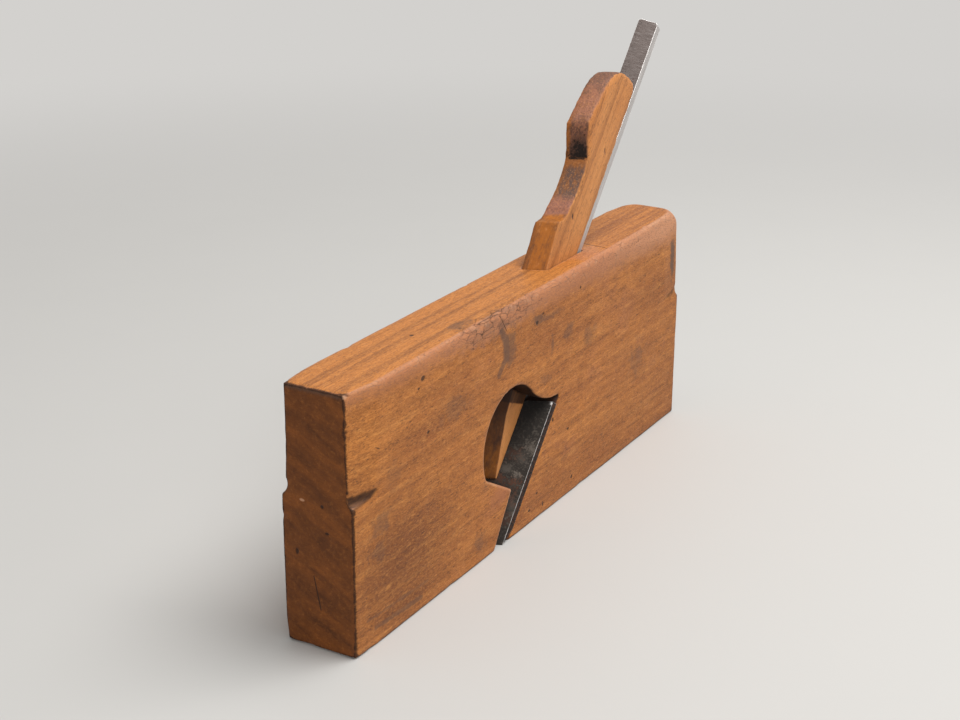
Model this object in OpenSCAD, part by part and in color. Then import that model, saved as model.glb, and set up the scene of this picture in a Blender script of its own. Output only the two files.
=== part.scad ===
// Skew rabbet plane: a beech stock, a tanged iron as wide as the stock, and the wedge that holds it.
// X runs towards the toe, Y towards the side where the shavings leave, Z up from the sole.

/* [Stock] */
// Length of the stock
stock_l = 241; // [200:1:290]
// Width of the stock, which is also the width of the blade
stock_w = 27; // [22.5:0.5:33]
// Height of the stock
stock_h = 89; // [80:1:107]
// Radius worn on the two long top arrises at the toe
arris_toe_r = 1.8; // [1:0.1:4]
// Radius worn on them at the heel
arris_heel_r = 3.2; // [1:0.1:4]

/* [Eased corners] */
// Height above the sole of the gouge cuts that stop the eased upright corners
stop_h = 54; // [44:1:64]
// How far an eased corner reaches along the side
ease_run = 13; // [8:0.5:18]
// How deep the eased corners of the toe go at its end
toe_ease = 1.9; // [1:0.1:3]
// How deep the eased corners of the heel go at its end
heel_ease = 1.1; // [1:0.1:3]
// Radius of the gouge that stops each eased corner
gouge_r = 4.3; // [3.5:0.1:6]
// Slope of the gouge cut, down towards the end of the stock, in degrees
gouge_fall = 5.5; // [0:0.5:10]

/* [Hand wear at the heel] */
// How far from the heel the sides start to lean in above the hand
wear_l = 76; // [40:1:90]
// How far the wear reaches down the side at the heel
wear_drop = 11; // [5:0.5:16]
// How far in the wear leans at the heel
wear_in = 2; // [1:0.1:3]
// Radius of the heel's top corners at its end
heel_r = 9.5; // [7:0.5:11]

/* [Bed and mouth] */
// Pitch of the bed, as the side view shows it, in degrees
pitch = 49; // [47:0.5:52]
// Skew of the cutting edge, in degrees from square
skew = 25; // [18:1:29]
// Place of the cutting edge ahead of mid length, at mid width
edge_x = 33.7; // [26:0.1:40]
// Opening of the mouth ahead of the edge, along the sole
mouth_gap = 5.2; // [4.4:0.1:7]
// Slope of the front wall of the mouth, in degrees from level
mouth_slope = 57.5; // [54:0.5:62]
// Height of the throat's lip above the sole
lip_h = 19.5; // [17:0.5:22]

/* [Escapement] */
// How far the round eye's centre lies behind the corner of the edge, on the open side
eye_back = 7.1; // [5:0.1:9]
// Height of the round eye's centre above the sole, on the open side
eye_h = 38.3; // [36:0.1:41]
// Radius of the round eye on the open side
eye_r = 19.9; // [18:0.1:21.5]
// How much smaller the eye's radius is on the far side
eye_taper = 3.4; // [1:0.1:5]
// Radius of the hollow curve that runs back from the eye to the bed
brow_r = 28.9; // [25:0.1:32]
// Direction from the eye's centre to the centre of that curve, in degrees above level
brow_turn = 45.5; // [43:0.5:48]
// How far the floor of the eye lies below the eye's centre
floor_drop = 16.5; // [14:0.1:17.5]
// Slope of the floor of the eye, up towards the toe, in degrees
floor_slope = 29.4; // [22:0.1:33]

/* [Iron] */
// Thickness of the iron
iron_t = 3.2; // [2.4:0.1:4.2]
// How much narrower the tang is than the wedge
tang_less = 1.2; // [0.4:0.1:3]
// Length of the iron from the edge to the end of the tang, along the tang
iron_l = 219.8; // [190:0.1:250]
// Height of the blade's shoulders above the sole
shoulder_h = 42.6; // [38:0.1:43]
// Angle ground on the back of the edge, in degrees
grind = 25; // [20:1:30]
// How far the edge is set above the sole
iron_set = 0.1; // [0:0.05:0.4]
// Radius of the corners at the end of the tang
tang_r = 1.3; // [0.5:0.1:2]

/* [Wedge leg] */
// Width of the wedge
wedge_w = 8.5; // [7:0.1:11]
// Thickness of the wedge where it leaves the stock, square to the iron
wedge_t = 17.9; // [15.5:0.1:19]
// Taper of the wedge, in degrees
taper = 9.3; // [8.5:0.1:10]
// Height of the wedge's thin end above the sole
wedge_tip_h = 19; // [16:0.5:24]
// Thickness of the thin end
wedge_tip_t = 0.8; // [0.5:0.1:2]
// Length of the thinned end, up the iron
thinned_l = 22; // [16:1:26]

/* [Wedge neck and head] */
// Height of the wedge's shoulder above the top of the stock
wedge_shoulder = 15.6; // [8:0.1:24]
// How far the shoulder steps in, square to the iron
shoulder_step = 4.2; // [2:0.1:6]
// Radius of the hollow above the shoulder
shoulder_r = 6.5; // [3:0.5:8]
// Length of the neck between the shoulder and the notch under the head
neck_l = 24.7; // [18:0.1:35]
// How deep the long hollow of the neck goes
neck_hollow = 1.5; // [0.8:0.1:2.5]
// How far the head stands out beyond the neck
head_out = 8; // [5:0.1:10]
// Length of the head above its front corner
head_l = 27.8; // [22:0.1:34]
// How far the front of the head leans back, in degrees
head_lean = 11; // [4:1:14]
// Radius of the rounded top of the head
head_r = 13; // [9:0.5:14]
// Radius of the head's back corner
head_back_r = 4; // [2:0.5:6]

/* [Fits] */
// Gap between the bed and the back of the iron, and between the iron and the wedge
seat_gap = 0.05; // [0.02:0.01:0.2]
// Gap between the front of the wedge and the mortise
wedge_gap = 0.1; // [0.05:0.05:0.4]
// Gap on each side of the wedge in the mortise
cheek_gap = 0.1; // [0.05:0.05:0.4]

/* [Hidden] */
$fn = 96;

// Beyond any face, so that a cut runs clean through
past = 5;
// Longer than any piece, for cuts that have no end of their own
far = 400;
// How far a gouge still bites where an eased corner runs out
gouge_bite = 0.35;
// The eye and the hollow curve cross by this much, so they meet in a soft arris
brow_cross = 0.4;
// Share of the eye's radius, behind its centre, where the front wall of the throat ends inside the eye
throat_share = 0.55;
// Plain length of the neck between the hollow above the shoulder and the long hollow
neck_land = 0.8;
// How far above the notch the circle of the long hollow would leave the neck
neck_over = 1.5;
// How far one outline sinks into the next where they join
sink = 1;
// How much a rounding's circle is larger than one that just touches, so it meets its faces in a faint crease
crease = 0.02;

// Pitch of the bed square to the edge, steeper than the side view shows it
bed = atan(tan(pitch) / cos(skew));
// Depth of the bed behind the face of the iron
bed_depth = iron_t + seat_gap;
mortise_w = wedge_w + 2 * cheek_gap;
tang_w = wedge_w - tang_less;

// Distance up the bed of the wedge's front face where it leaves the stock
leave_u = (stock_h - wedge_t * cos(bed)) / sin(bed);
// Front of the wedge at a distance up the bed, measured square to the iron
function front_at(u) = wedge_t + (u - leave_u) * tan(taper);
tip_u = wedge_tip_h / sin(bed);
shoulder_z = stock_h + wedge_shoulder;
// Distance up the bed of the front face where it is a height above the sole
shoulder_u = (shoulder_z - (wedge_t - leave_u * tan(taper)) * cos(bed)) / (sin(bed) + tan(taper) * cos(bed));
shoulder_f = front_at(shoulder_u);
neck_f = shoulder_f - shoulder_step;
// The shoulder is cut level, so going in it also goes up the bed
neck_u = shoulder_u + shoulder_step / tan(bed);
notch_u = neck_u + neck_l;
// Below the head the wedge is cut plumb
head_f = neck_f + head_out;
head_u = notch_u + head_out * tan(bed);
top_u = head_u + head_l;

// Corner of the edge on the open side, and the eye's centre behind it
eye_x = edge_x - stock_w / 2 * tan(skew) - eye_back;
// Unit direction from the eye's centre to the centre of the hollow curve, in the side view
brow_dir = [-cos(brow_turn), sin(brow_turn)];
brow_c = [eye_x, eye_h] + (eye_r + brow_r - brow_cross) * brow_dir;
// Height at which the eye takes over from the hollow curve
meet_h = eye_h + eye_r * sin(brow_turn);
// The eye's centre line leans towards the hollow curve as the eye narrows
eye_line = [eye_taper * brow_dir.x, -stock_w, eye_taper * brow_dir.y];

// Places a child whose X runs down the bed square to the edge, Y along the edge, Z out of the iron's face
module on_face() {
    translate([edge_x, 0, 0])
        rotate([0, bed, skew])
            children();
}

// Sweeps an outline along the edge: its X is the distance out of the iron's face, its Y the distance up the bed
module along_edge() {
    on_face()
        rotate([90, -90, 0])
            linear_extrude(far, center = true)
                children();
}

// Sweeps an outline, drawn as the side view shows it at mid width, along the skewed edge
module along_skew(outline) {
    rotate([90, 0, skew])
        linear_extrude(far, center = true)
            polygon([for (p = outline) [p.x * cos(skew), p.y]]);
}

// Keeps what lies within a width about the middle of the stock
module within(width) {
    intersection() {
        children();
        cube([far * 2, width, far * 2], center = true);
    }
}

// Everything in front of the bed
module front_of_bed() {
    on_face()
        translate([-far, -far, -bed_depth])
            cube([far * 2, far * 2, far]);
}

// The round eye, wide on the open side and narrower on the far side
module eye_bore() {
    reach = norm(eye_line);
    widen = eye_taper * past / reach;
    translate([eye_x, stock_w / 2, eye_h])
        rotate([0, acos(eye_line.z / reach), atan2(eye_line.y, eye_line.x)])
            translate([0, 0, -past])
                cylinder(h = reach + 2 * past, r1 = eye_r + widen, r2 = eye_r - eye_taper - widen);
}

// The wood under the eye, level with its sloping floor
module eye_floor() {
    translate([eye_x, 0, eye_h])
        rotate([0, -floor_slope, 0])
            translate([-far / 2, -far / 2, -far - floor_drop])
                cube(far);
}

module eye() {
    difference() {
        eye_bore();
        eye_floor();
    }
}

// The slot for the blade and the throat: from the mouth in the sole up to the hollow curve
module throat() {
    front = edge_x + mouth_gap;
    outline = [
        [-far, -past],
        [front + past / tan(mouth_slope), -past],
        [front - lip_h / tan(mouth_slope), lip_h],
        [eye_x + stock_w / 2 * tan(skew) - eye_r * throat_share, meet_h],
        [-far, meet_h]
    ];
    difference() {
        along_skew(outline);
        translate([brow_c.x, 0, brow_c.y])
            rotate([90, 0, 0])
                cylinder(h = far, r = brow_r, center = true);
    }
}

// The mortise for the tang and the wedge, open at the top of the stock
module mortise() {
    low = shoulder_h / sin(bed);
    high = (stock_h + past) / sin(bed);
    within(mortise_w)
        along_edge()
            polygon([
                [-bed_depth - past, low],
                [front_at(low) + wedge_gap, low],
                [front_at(high) + wedge_gap, high],
                [-bed_depth - past, high]
            ]);
}

// All that is cut through the stock, with the one bed behind it
module escapement() {
    intersection() {
        front_of_bed();
        union() {
            mortise();
            throat();
            eye();
        }
    }
}

// One upright corner eased above its gouge cut, drawn at the left of the toe
module eased_corner(depth) {
    turn = atan(depth / ease_run);
    translate([stock_l / 2 - ease_run, stock_w / 2, stop_h])
        rotate([0, -gouge_fall, 0])
            rotate([0, 0, -turn])
                translate([-past, 0, 0]) {
                    cube([ease_run + 3 * past, past, stock_h]);
                    translate([0, gouge_r - gouge_bite, 0])
                        rotate([0, 90, 0])
                            cylinder(h = ease_run + 3 * past, r = gouge_r);
                }
}

// What a rounding takes off a square corner that points up and to the right at the origin
module corner_cut(r) {
    translate([-r, -r])
        difference() {
            square(r + past);
            circle(r + crease);
        }
}

// The long top arris on the left, rounded by wear, more and more towards the heel
module top_arris() {
    grow = arris_heel_r - arris_toe_r;
    line = [stock_l, grow, grow];
    reach = norm(line);
    widen = grow * past / reach;
    translate([-stock_l / 2, stock_w / 2 - arris_heel_r, stock_h - arris_heel_r])
        rotate([0, -asin(line.z / reach), atan(line.y / line.x)])
            translate([-past, 0, 0])
                difference() {
                    cube([reach + 2 * past, arris_heel_r + past, arris_heel_r + past]);
                    rotate([0, 90, 0])
                        cylinder(
                            h = reach + 2 * past,
                            r1 = arris_heel_r + widen + crease,
                            r2 = arris_toe_r - widen + crease
                        );
                }
}

// The upper side towards the heel, worn until it leans in, drawn on the left
module hand_wear() {
    turn = atan(wear_in / wear_l);
    tip = atan(wear_in / wear_drop * cos(turn));
    translate([-stock_l / 2 + wear_l, stock_w / 2, stock_h])
        rotate([0, 0, turn])
            rotate([tip, 0, 0])
                translate([-far, 0, -far / 2])
                    cube([far * 2, past * 2, far]);
}

// The heel's top corner, rounded at the end and dying out along the arris, drawn on the left
module heel_corner() {
    // Where the rounding dies out the corner just touches the circle
    rise = heel_r - heel_r / sqrt(2);
    out = [ease_run, heel_ease + rise, rise];
    reach = norm(out);
    translate([-stock_l / 2, stock_w / 2 - heel_ease - heel_r, stock_h - heel_r])
        rotate([0, -asin(out.z / reach), atan(out.y / out.x)])
            translate([-past, 0, 0])
                difference() {
                    cube([reach + 2 * past, heel_r + past, heel_r + past]);
                    rotate([0, 90, 0])
                        cylinder(h = reach + 2 * past, r = heel_r);
                }
}

module stock() {
    color([0.72, 0.44, 0.24])
        difference() {
            translate([-stock_l / 2, -stock_w / 2, 0])
                cube([stock_l, stock_w, stock_h]);
            for (left = [0, 1]) {
                mirror([0, left, 0]) {
                    top_arris();
                    hand_wear();
                    eased_corner(toe_ease);
                    mirror([1, 0, 0])
                        eased_corner(heel_ease);
                    heel_corner();
                }
            }
            escapement();
        }
}

// The iron's full thickness, endless up and down the bed
module iron_sheet() {
    on_face()
        translate([-far, -far, -iron_t])
            cube([far * 2, far * 2, iron_t]);
}

// The blade's outline: as wide as the stock, up to the shoulders
module blade() {
    blade_l = shoulder_h / sin(bed);
    within(stock_w)
        on_face()
            translate([-blade_l, -far, -past])
                cube([blade_l + past, far * 2, past * 2]);
}

// The narrow tang that rises through the mortise, rounded at the corners of its end
module tang() {
    foot = shoulder_h / sin(pitch) - past;
    translate([edge_x, 0, 0])
        rotate([0, pitch - 180, 0])
            linear_extrude(far, center = true)
                difference() {
                    translate([foot, -tang_w / 2])
                        square([iron_l - foot, tang_w]);
                    for (left = [0, 1])
                        mirror([0, left])
                            translate([iron_l, tang_w / 2])
                                corner_cut(tang_r);
                }
}

// What is ground away behind the cutting edge
module ground_off() {
    translate([edge_x - iron_set / tan(pitch), 0, iron_set])
        rotate([0, bed - grind, skew])
            translate([-far / 2, -far / 2, -far])
                cube([far, far, far]);
}

module iron() {
    color([0.42, 0.41, 0.4])
        difference() {
            intersection() {
                iron_sheet();
                union() {
                    blade();
                    tang();
                }
            }
            ground_off();
        }
}

// Side outline of the wedge below its shoulder
module wedge_leg() {
    thin_u = tip_u + thinned_l;
    polygon([
        [seat_gap, tip_u],
        [seat_gap + wedge_tip_t, tip_u],
        [front_at(thin_u), thin_u],
        [shoulder_f, shoulder_u],
        [neck_f, neck_u],
        [seat_gap, neck_u]
    ]);
}

// Side outline of the hollow above the shoulder
module shoulder_hollow() {
    run = shoulder_r * tan(bed / 2);
    centre = [neck_f + shoulder_r, neck_u + run];
    difference() {
        polygon([
            centre,
            [neck_f, neck_u + run],
            [neck_f - sink, neck_u + run],
            [neck_f - sink, neck_u - sink],
            [neck_f + run * sin(bed) - sink * cos(bed), neck_u - run * cos(bed) - sink * sin(bed)],
            [neck_f + run * sin(bed), neck_u - run * cos(bed)]
        ]);
        translate(centre)
            circle(shoulder_r + crease);
    }
}

// Side outline of the long hollow cut in the front of the neck
module neck_cut() {
    from = neck_u + shoulder_r * tan(bed / 2) + neck_land;
    chord = notch_u + neck_over - from;
    radius = (chord ^ 2 / 4 + neck_hollow ^ 2) / (2 * neck_hollow);
    intersection() {
        translate([neck_f - neck_hollow + radius, from + chord / 2])
            circle(radius);
        translate([0, from - neck_land / 2])
            square([far, notch_u - from + neck_land / 2]);
    }
}

// Side outline of the neck and the rounded head
module wedge_head() {
    centre_u = top_u - head_r;
    // The front of the head runs straight into its rounded top
    centre_f = head_f - (head_r + (centre_u - head_u) * sin(head_lean)) / cos(head_lean);
    centre = [centre_f, centre_u];
    beyond = head_r + past;
    difference() {
        polygon([
            [seat_gap, neck_u],
            [neck_f, neck_u],
            [neck_f, notch_u],
            [head_f, head_u],
            [head_f - head_l * tan(head_lean), top_u],
            [seat_gap, top_u]
        ]);
        difference() {
            polygon([
                centre,
                centre + beyond * [cos(head_lean), sin(head_lean)],
                centre + beyond * [1, 1],
                centre + beyond * [0, 1]
            ]);
            translate(centre)
                circle(head_r + crease);
        }
        translate([seat_gap, top_u])
            mirror([1, 0])
                corner_cut(head_back_r);
    }
}

module wedge() {
    color([0.85, 0.58, 0.32])
        within(wedge_w)
            along_edge()
                difference() {
                    union() {
                        wedge_leg();
                        shoulder_hollow();
                        wedge_head();
                    }
                    neck_cut();
                }
}

stock();
iron();
wedge();
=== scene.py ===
import math

import bmesh
import bpy
import numpy as np
from bpy.props import FloatProperty, FloatVectorProperty, PointerProperty
from mathutils import Matrix, Vector, noise


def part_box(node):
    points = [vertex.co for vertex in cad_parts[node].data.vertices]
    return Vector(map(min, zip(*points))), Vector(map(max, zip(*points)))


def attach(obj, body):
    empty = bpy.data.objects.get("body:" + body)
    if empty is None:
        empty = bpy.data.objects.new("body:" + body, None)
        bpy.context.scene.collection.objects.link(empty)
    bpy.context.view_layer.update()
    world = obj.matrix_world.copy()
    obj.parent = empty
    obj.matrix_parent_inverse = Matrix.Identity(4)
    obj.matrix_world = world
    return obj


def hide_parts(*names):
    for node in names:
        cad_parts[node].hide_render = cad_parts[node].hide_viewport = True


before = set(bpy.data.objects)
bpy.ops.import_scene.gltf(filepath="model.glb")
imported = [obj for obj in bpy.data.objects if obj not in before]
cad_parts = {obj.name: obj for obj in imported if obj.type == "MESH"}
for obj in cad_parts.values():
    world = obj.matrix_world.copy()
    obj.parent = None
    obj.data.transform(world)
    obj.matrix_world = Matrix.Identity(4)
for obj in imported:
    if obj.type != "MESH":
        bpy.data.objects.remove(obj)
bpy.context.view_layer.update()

bl_info = {
    "name": "Skew rabbet plane",
    "version": (1, 0, 0),
    "blender": (4, 5, 0),
    "location": "3D View > Sidebar > Rabbet Plane",
    "description": "Wears and finishes the stock, iron and wedge of a wooden skew rabbet plane",
    "category": "Object",
}

# Lengths are in millimetres where nothing else is said, and MM makes them Blender's metres
MM = 0.001
STOCK_LOW, STOCK_HIGH = (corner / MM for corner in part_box("stock"))
WEDGE_LOW, WEDGE_HIGH = (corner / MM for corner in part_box("wedge"))
# The slope of the bed in the side view, the way up along it and the way out of it
PITCH = math.radians(49)
UP_BED = Vector((-math.cos(PITCH), 0, math.sin(PITCH)))
OUT_OF_BED = Vector((math.sin(PITCH), 0, math.cos(PITCH)))
# Points of a CAD mesh that lie closer together than this are one
WELD = 0.002
# A piece keeps no more triangles than this
MOST_FACES = 190_000
# Wear leaves a point alone where its strength is less than this
NO_WEAR = 0.03
# How shiny beech is that has been handled and never varnished
BEECH_GLOSS = 0.23


def tint(name, description, *chart):
    """A colour that the sidebar shows, given in the numbers of a colour chart, 0 to 255."""
    def linear(value):
        value /= 255
        return value / 12.92 if value < 0.04045 else ((value + 0.055) / 1.055) ** 2.4
    colour = tuple(linear(value) for value in chart)
    return FloatVectorProperty(
        name=name, description=description, default=colour, subtype="COLOR", size=3, min=0, max=1
    )


def length(name, description, millimetres, least, most):
    """A length that the sidebar shows, given in millimetres."""
    return FloatProperty(
        name=name,
        description=description,
        default=millimetres * MM,
        min=least * MM,
        max=most * MM,
        precision=5,
        subtype="DISTANCE",
        unit="LENGTH",
    )


def share(name, description, value, most):
    """A plain amount that the sidebar shows."""
    return FloatProperty(
        name=name, description=description, default=value, min=0, max=most, subtype="FACTOR"
    )


def power(name, description, watts):
    """The power of a lamp that the sidebar shows."""
    return FloatProperty(name=name, description=description, default=watts, min=0, unit="POWER")


class StockSettings(bpy.types.PropertyGroup):
    """Sizes and colours of the stock."""

    skin: length("Skin", "Spacing of the mesh that the wear is worked in", 0.55, 0.3, 2)
    wear: length("Wear", "How deep the arrises are worn", 0.16, 0, 1)
    gold: tint("Golden beech", "The lighter tone of the side", 190, 119, 56)
    russet: tint("Russet beech", "The darker tone of the side", 140, 79, 40)
    rosy: tint("Rosy beech", "Pinkish patches", 160, 99, 66)
    # Also painted shade low down on the side
    dusky: tint("Dusky beech", "The handled side, low down towards the toe", 110, 61, 31)
    gleam: tint("Gleam", "Golden specks and fibres", 216, 148, 78)
    top: tint("Top", "The top where hands have polished it", 190, 119, 56)
    streak: tint("Streaks", "Darker lines along the grain", 106, 60, 30)
    fleck: tint("Flecks", "The short dark flecks of beech", 66, 40, 28)
    worn: tint("Worn arris", "Rough wood along the top arrises", 176, 118, 86)
    bare: tint("Bare wood", "The palest worn places", 210, 162, 128)
    end: tint("End grain", "The lighter tone of the toe and the heel", 128, 71, 24)
    end_dark: tint("Dark end grain", "The darker tone of the toe and the heel", 66, 33, 10)
    # Painted shade: the wood inside the escapement, darker than outside
    inside: tint("Inside", "Wood inside the escapement", 84, 40, 13)
    stain: tint("Stain", "Old iron and oil stains", 82, 63, 53)
    # Also painted shade inside the escapement, on the gouge cuts and along the sole, besides dirt
    # and marks
    grime_and_shade: tint("Grime", "Dirt in corners and cuts", 30, 12, 4)


class IronSettings(bpy.types.PropertyGroup):
    """Sizes and colours of the iron."""

    bevel: length("Bevel", "Width worn off the arrises", 0.13, 0.05, 0.6)
    steel: tint("Steel", "The brushed face of the tang", 92, 82, 78)
    # Also a painted highlight on the blade's near arris and its upper corner
    bright: tint("Bright steel", "The worn arrises", 230, 226, 223)
    # Painted light: the tang's sides, much paler than its face
    flank: tint("Flank", "The narrow sides of the tang", 180, 175, 172)
    black: tint("Black steel", "The stained face of the blade", 40, 33, 27)
    # Painted shade: the blade up in the escapement and its side edge
    blade_shade: tint("Soot", "The blade where it goes up into the dark", 13, 11, 10)
    bloom: tint("Bloom", "Lighter patches on the blade", 112, 102, 92)
    rust: tint("Rust", "Rust on the blade and its sides", 98, 58, 38)


class WedgeSettings(bpy.types.PropertyGroup):
    """Sizes and colours of the wedge."""

    skin: length("Skin", "Spacing of the mesh that the wear is worked in", 0.36, 0.25, 1)
    wear: length("Wear", "How deep the arrises are worn", 0.16, 0, 1)
    light: tint("Light beech", "The lighter tone of the sides", 206, 140, 82)
    warm: tint("Warm beech", "The darker tone of the sides", 174, 104, 52)
    head: tint("Head", "The handled front of the head", 146, 94, 68)
    rosy: tint("Rosy hollow", "The hollow above the shoulder", 148, 95, 74)
    neck: tint("Neck", "The handled front of the neck", 126, 79, 45)
    leg: tint("Front of the leg", "The front below the shoulder", 163, 95, 30)
    dark: tint("Dark patches", "Stained patches of the front", 66, 46, 40)
    grey: tint("Grey patches", "Where the neck has gone grey", 86, 66, 58)
    # Painted shadow and shade on the wedge inside the mortise
    deep: tint("Deep", "The part shut in the mortise", 48, 26, 13)
    # Also painted shade in the hollows under the head
    grime_and_shade: tint("Grime", "Dirt in the notch", 14, 8, 5)


class StageSettings(bpy.types.PropertyGroup):
    """The floor and the lights."""

    floor: tint("Floor", "The plain pale floor", 196, 194, 190)
    distance: tint("Distance", "The far floor, and the sky beyond it", 211, 209, 206)
    key: power("Key", "Power of the large lamp overhead", 15)
    fill: power("Fill", "Power of the lamp beside the camera", 3.5)
    sky: share("Sky", "Brightness of the light from all round", 0.42, 2)


class PlaneSettings(bpy.types.PropertyGroup):
    """All the settings of the plane."""

    stock: PointerProperty(type=StockSettings)
    iron: PointerProperty(type=IronSettings)
    wedge: PointerProperty(type=WedgeSettings)
    stage: PointerProperty(type=StageSettings)


class Shade:
    """A number that varies over a surface: an output of a shader node, with Python's arithmetic."""

    def __init__(self, finish, link):
        self.finish, self.link = finish, link

    def _math(self, operation, *values):
        return self.finish.node("ShaderNodeMath", {"operation": operation}, dict(enumerate(values)))

    def __add__(self, other):
        return self._math("ADD", self, other)

    def __radd__(self, other):
        return self._math("ADD", other, self)

    def __sub__(self, other):
        return self._math("SUBTRACT", self, other)

    def __rsub__(self, other):
        return self._math("SUBTRACT", other, self)

    def __mul__(self, other):
        return self._math("MULTIPLY", self, other)

    def __rmul__(self, other):
        return self._math("MULTIPLY", other, self)

    def __abs__(self):
        return self._math("ABSOLUTE", self)

    def most(self, other):
        """The larger of the two."""
        return self._math("MAXIMUM", self, other)

    def swing(self, amount):
        """Noise, which lies about a half, as a swing of an amount about nothing."""
        return (self - 0.5) * amount

    def ramp(self, low, high):
        """0 at low and 1 at high, with soft ends. Low may be the larger."""
        return self.finish.node(
            "ShaderNodeMapRange",
            {"interpolation_type": "SMOOTHSTEP"},
            {"Value": self, "From Min": low, "From Max": high},
        )


class Nodes:
    """A node tree and the one way in which nodes are added to it."""

    def __init__(self, tree):
        self.tree = tree
        tree.nodes.clear()

    def node(self, kind, settings=None, values=None, output=0):
        """Adds a node, sets it, fills or links its sockets and gives back one of its outputs."""
        made = self.tree.nodes.new(kind)
        for key, value in (settings or {}).items():
            setattr(made, key, value)
        for key, value in (values or {}).items():
            if isinstance(value, Shade):
                self.tree.links.new(value.link, made.inputs[key])
            else:
                made.inputs[key].default_value = value
        return Shade(self, made.outputs[output]) if len(made.outputs) else None

    def seen(self):
        """1 where the eye, a mirror or a glass looks, and 0 where light only lights."""
        camera, glossy, glass = (
            self.node("ShaderNodeLightPath", output=name)
            for name in ("Is Camera Ray", "Is Glossy Ray", "Is Transmission Ray")
        )
        return camera.most(glossy).most(glass)


class Finish(Nodes):
    """A material and the nodes that draw it."""

    # The sockets of a Mix node that hold its amount, its two colours and its mixed colour
    AMOUNT, FIRST, SECOND, MIXED = 0, 6, 7, 2

    def __init__(self, name):
        self.material = bpy.data.materials.new(name)
        self.material.use_nodes = True
        super().__init__(self.material.node_tree)
        where = self.node("ShaderNodeTexCoord", output="Object")
        self.at = self.vector("SCALE", where, factor=1 / MM)
        self.x, self.y, self.z = self.parts(self.at)
        self.normal = self.node("ShaderNodeTexCoord", output="Normal")
        self.facing_x, self.facing_y, self.facing_z = self.parts(self.normal)

    def vector(self, operation, a, b=None, factor=None, output=0):
        """Vector arithmetic."""
        values = {0: a}
        if b is not None:
            values[1] = b
        if factor is not None:
            values["Scale"] = factor
        return self.node("ShaderNodeVectorMath", {"operation": operation}, values, output)

    def parts(self, vector):
        """The three numbers of a vector."""
        return [self.node("ShaderNodeSeparateXYZ", values={0: vector}, output=n) for n in range(3)]

    def whole(self, *numbers):
        """The vector of up to three numbers."""
        return self.node("ShaderNodeCombineXYZ", values=dict(enumerate(numbers)))

    def dot(self, vector, direction):
        """How far a vector goes in a direction."""
        return self.vector("DOT_PRODUCT", vector, tuple(direction), output="Value")

    def stretched(self, amounts, vector=None):
        """The place on the surface, scaled by one amount for each axis."""
        return self.vector("MULTIPLY", vector or self.at, amounts)

    def noise(self, vector, detail, rough=0.5, twist=0.0):
        """Soft noise about one unit in size."""
        return self.node(
            "ShaderNodeTexNoise",
            {"noise_dimensions": "3D"},
            dict(Vector=vector, Scale=1.0, Detail=detail, Roughness=rough, Distortion=twist),
        )

    def mix(self, amount, a, b):
        """Colour a, turning to colour b as amount goes from 0 to 1."""
        def solid(colour):
            return colour if isinstance(colour, Shade) else (*colour, 1.0)
        return self.node(
            "ShaderNodeMix",
            {"data_type": "RGBA"},
            {self.AMOUNT: amount, self.FIRST: solid(a), self.SECOND: solid(b)},
            output=self.MIXED,
        )

    def layer(self, name):
        """An amount that the mesh holds at each point."""
        return self.node("ShaderNodeAttribute", {"attribute_name": name}, output="Fac")

    def spot(self, centre, radii, ragged, edge=0.5):
        """1 in a spot about a place, with a soft edge that ragged breaks up."""
        away = self.vector("SUBTRACT", self.at, centre)
        away = self.vector("MULTIPLY", away, tuple(1 / r for r in radii))
        return (self.vector("LENGTH", away, output="Value") + ragged).ramp(1, 1 - edge)

    def stroke(self, start, end, width, ragged):
        """1 along a line between two places, out to 0.4 of its width, and fading beyond."""
        start, end = Vector(start), Vector(end)
        run = end - start
        away = self.vector("SUBTRACT", self.at, tuple(start))
        along = self.node(
            "ShaderNodeClamp", values={0: self.dot(away, run / run.length_squared), 1: 0.0, 2: 1.0}
        )
        nearest = self.vector("SCALE", tuple(run), factor=along)
        off = self.vector("SUBTRACT", away, nearest)
        return (self.vector("LENGTH", off, output="Value") + ragged).ramp(width, width * 0.4)

    def done(self, colour, rough, height, over=None, **fixed):
        """Ends the material. Over may wrap the shader in a last one, and fixed are plain values."""
        bump = self.node("ShaderNodeBump", values=dict(Strength=1.0, Distance=MM, Height=height))
        shader = self.node(
            "ShaderNodeBsdfPrincipled",
            values={"Base Color": colour, "Roughness": rough, "Normal": bump}
            | {key.replace("_", " "): value for key, value in fixed.items()},
        )
        self.node("ShaderNodeOutputMaterial", values={"Surface": over(shader) if over else shader})
        return self.material


def upto(values, full):
    """The values as amounts from 0 to 1, which they reach at full."""
    return np.clip(values / full, 0, 1)


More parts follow.
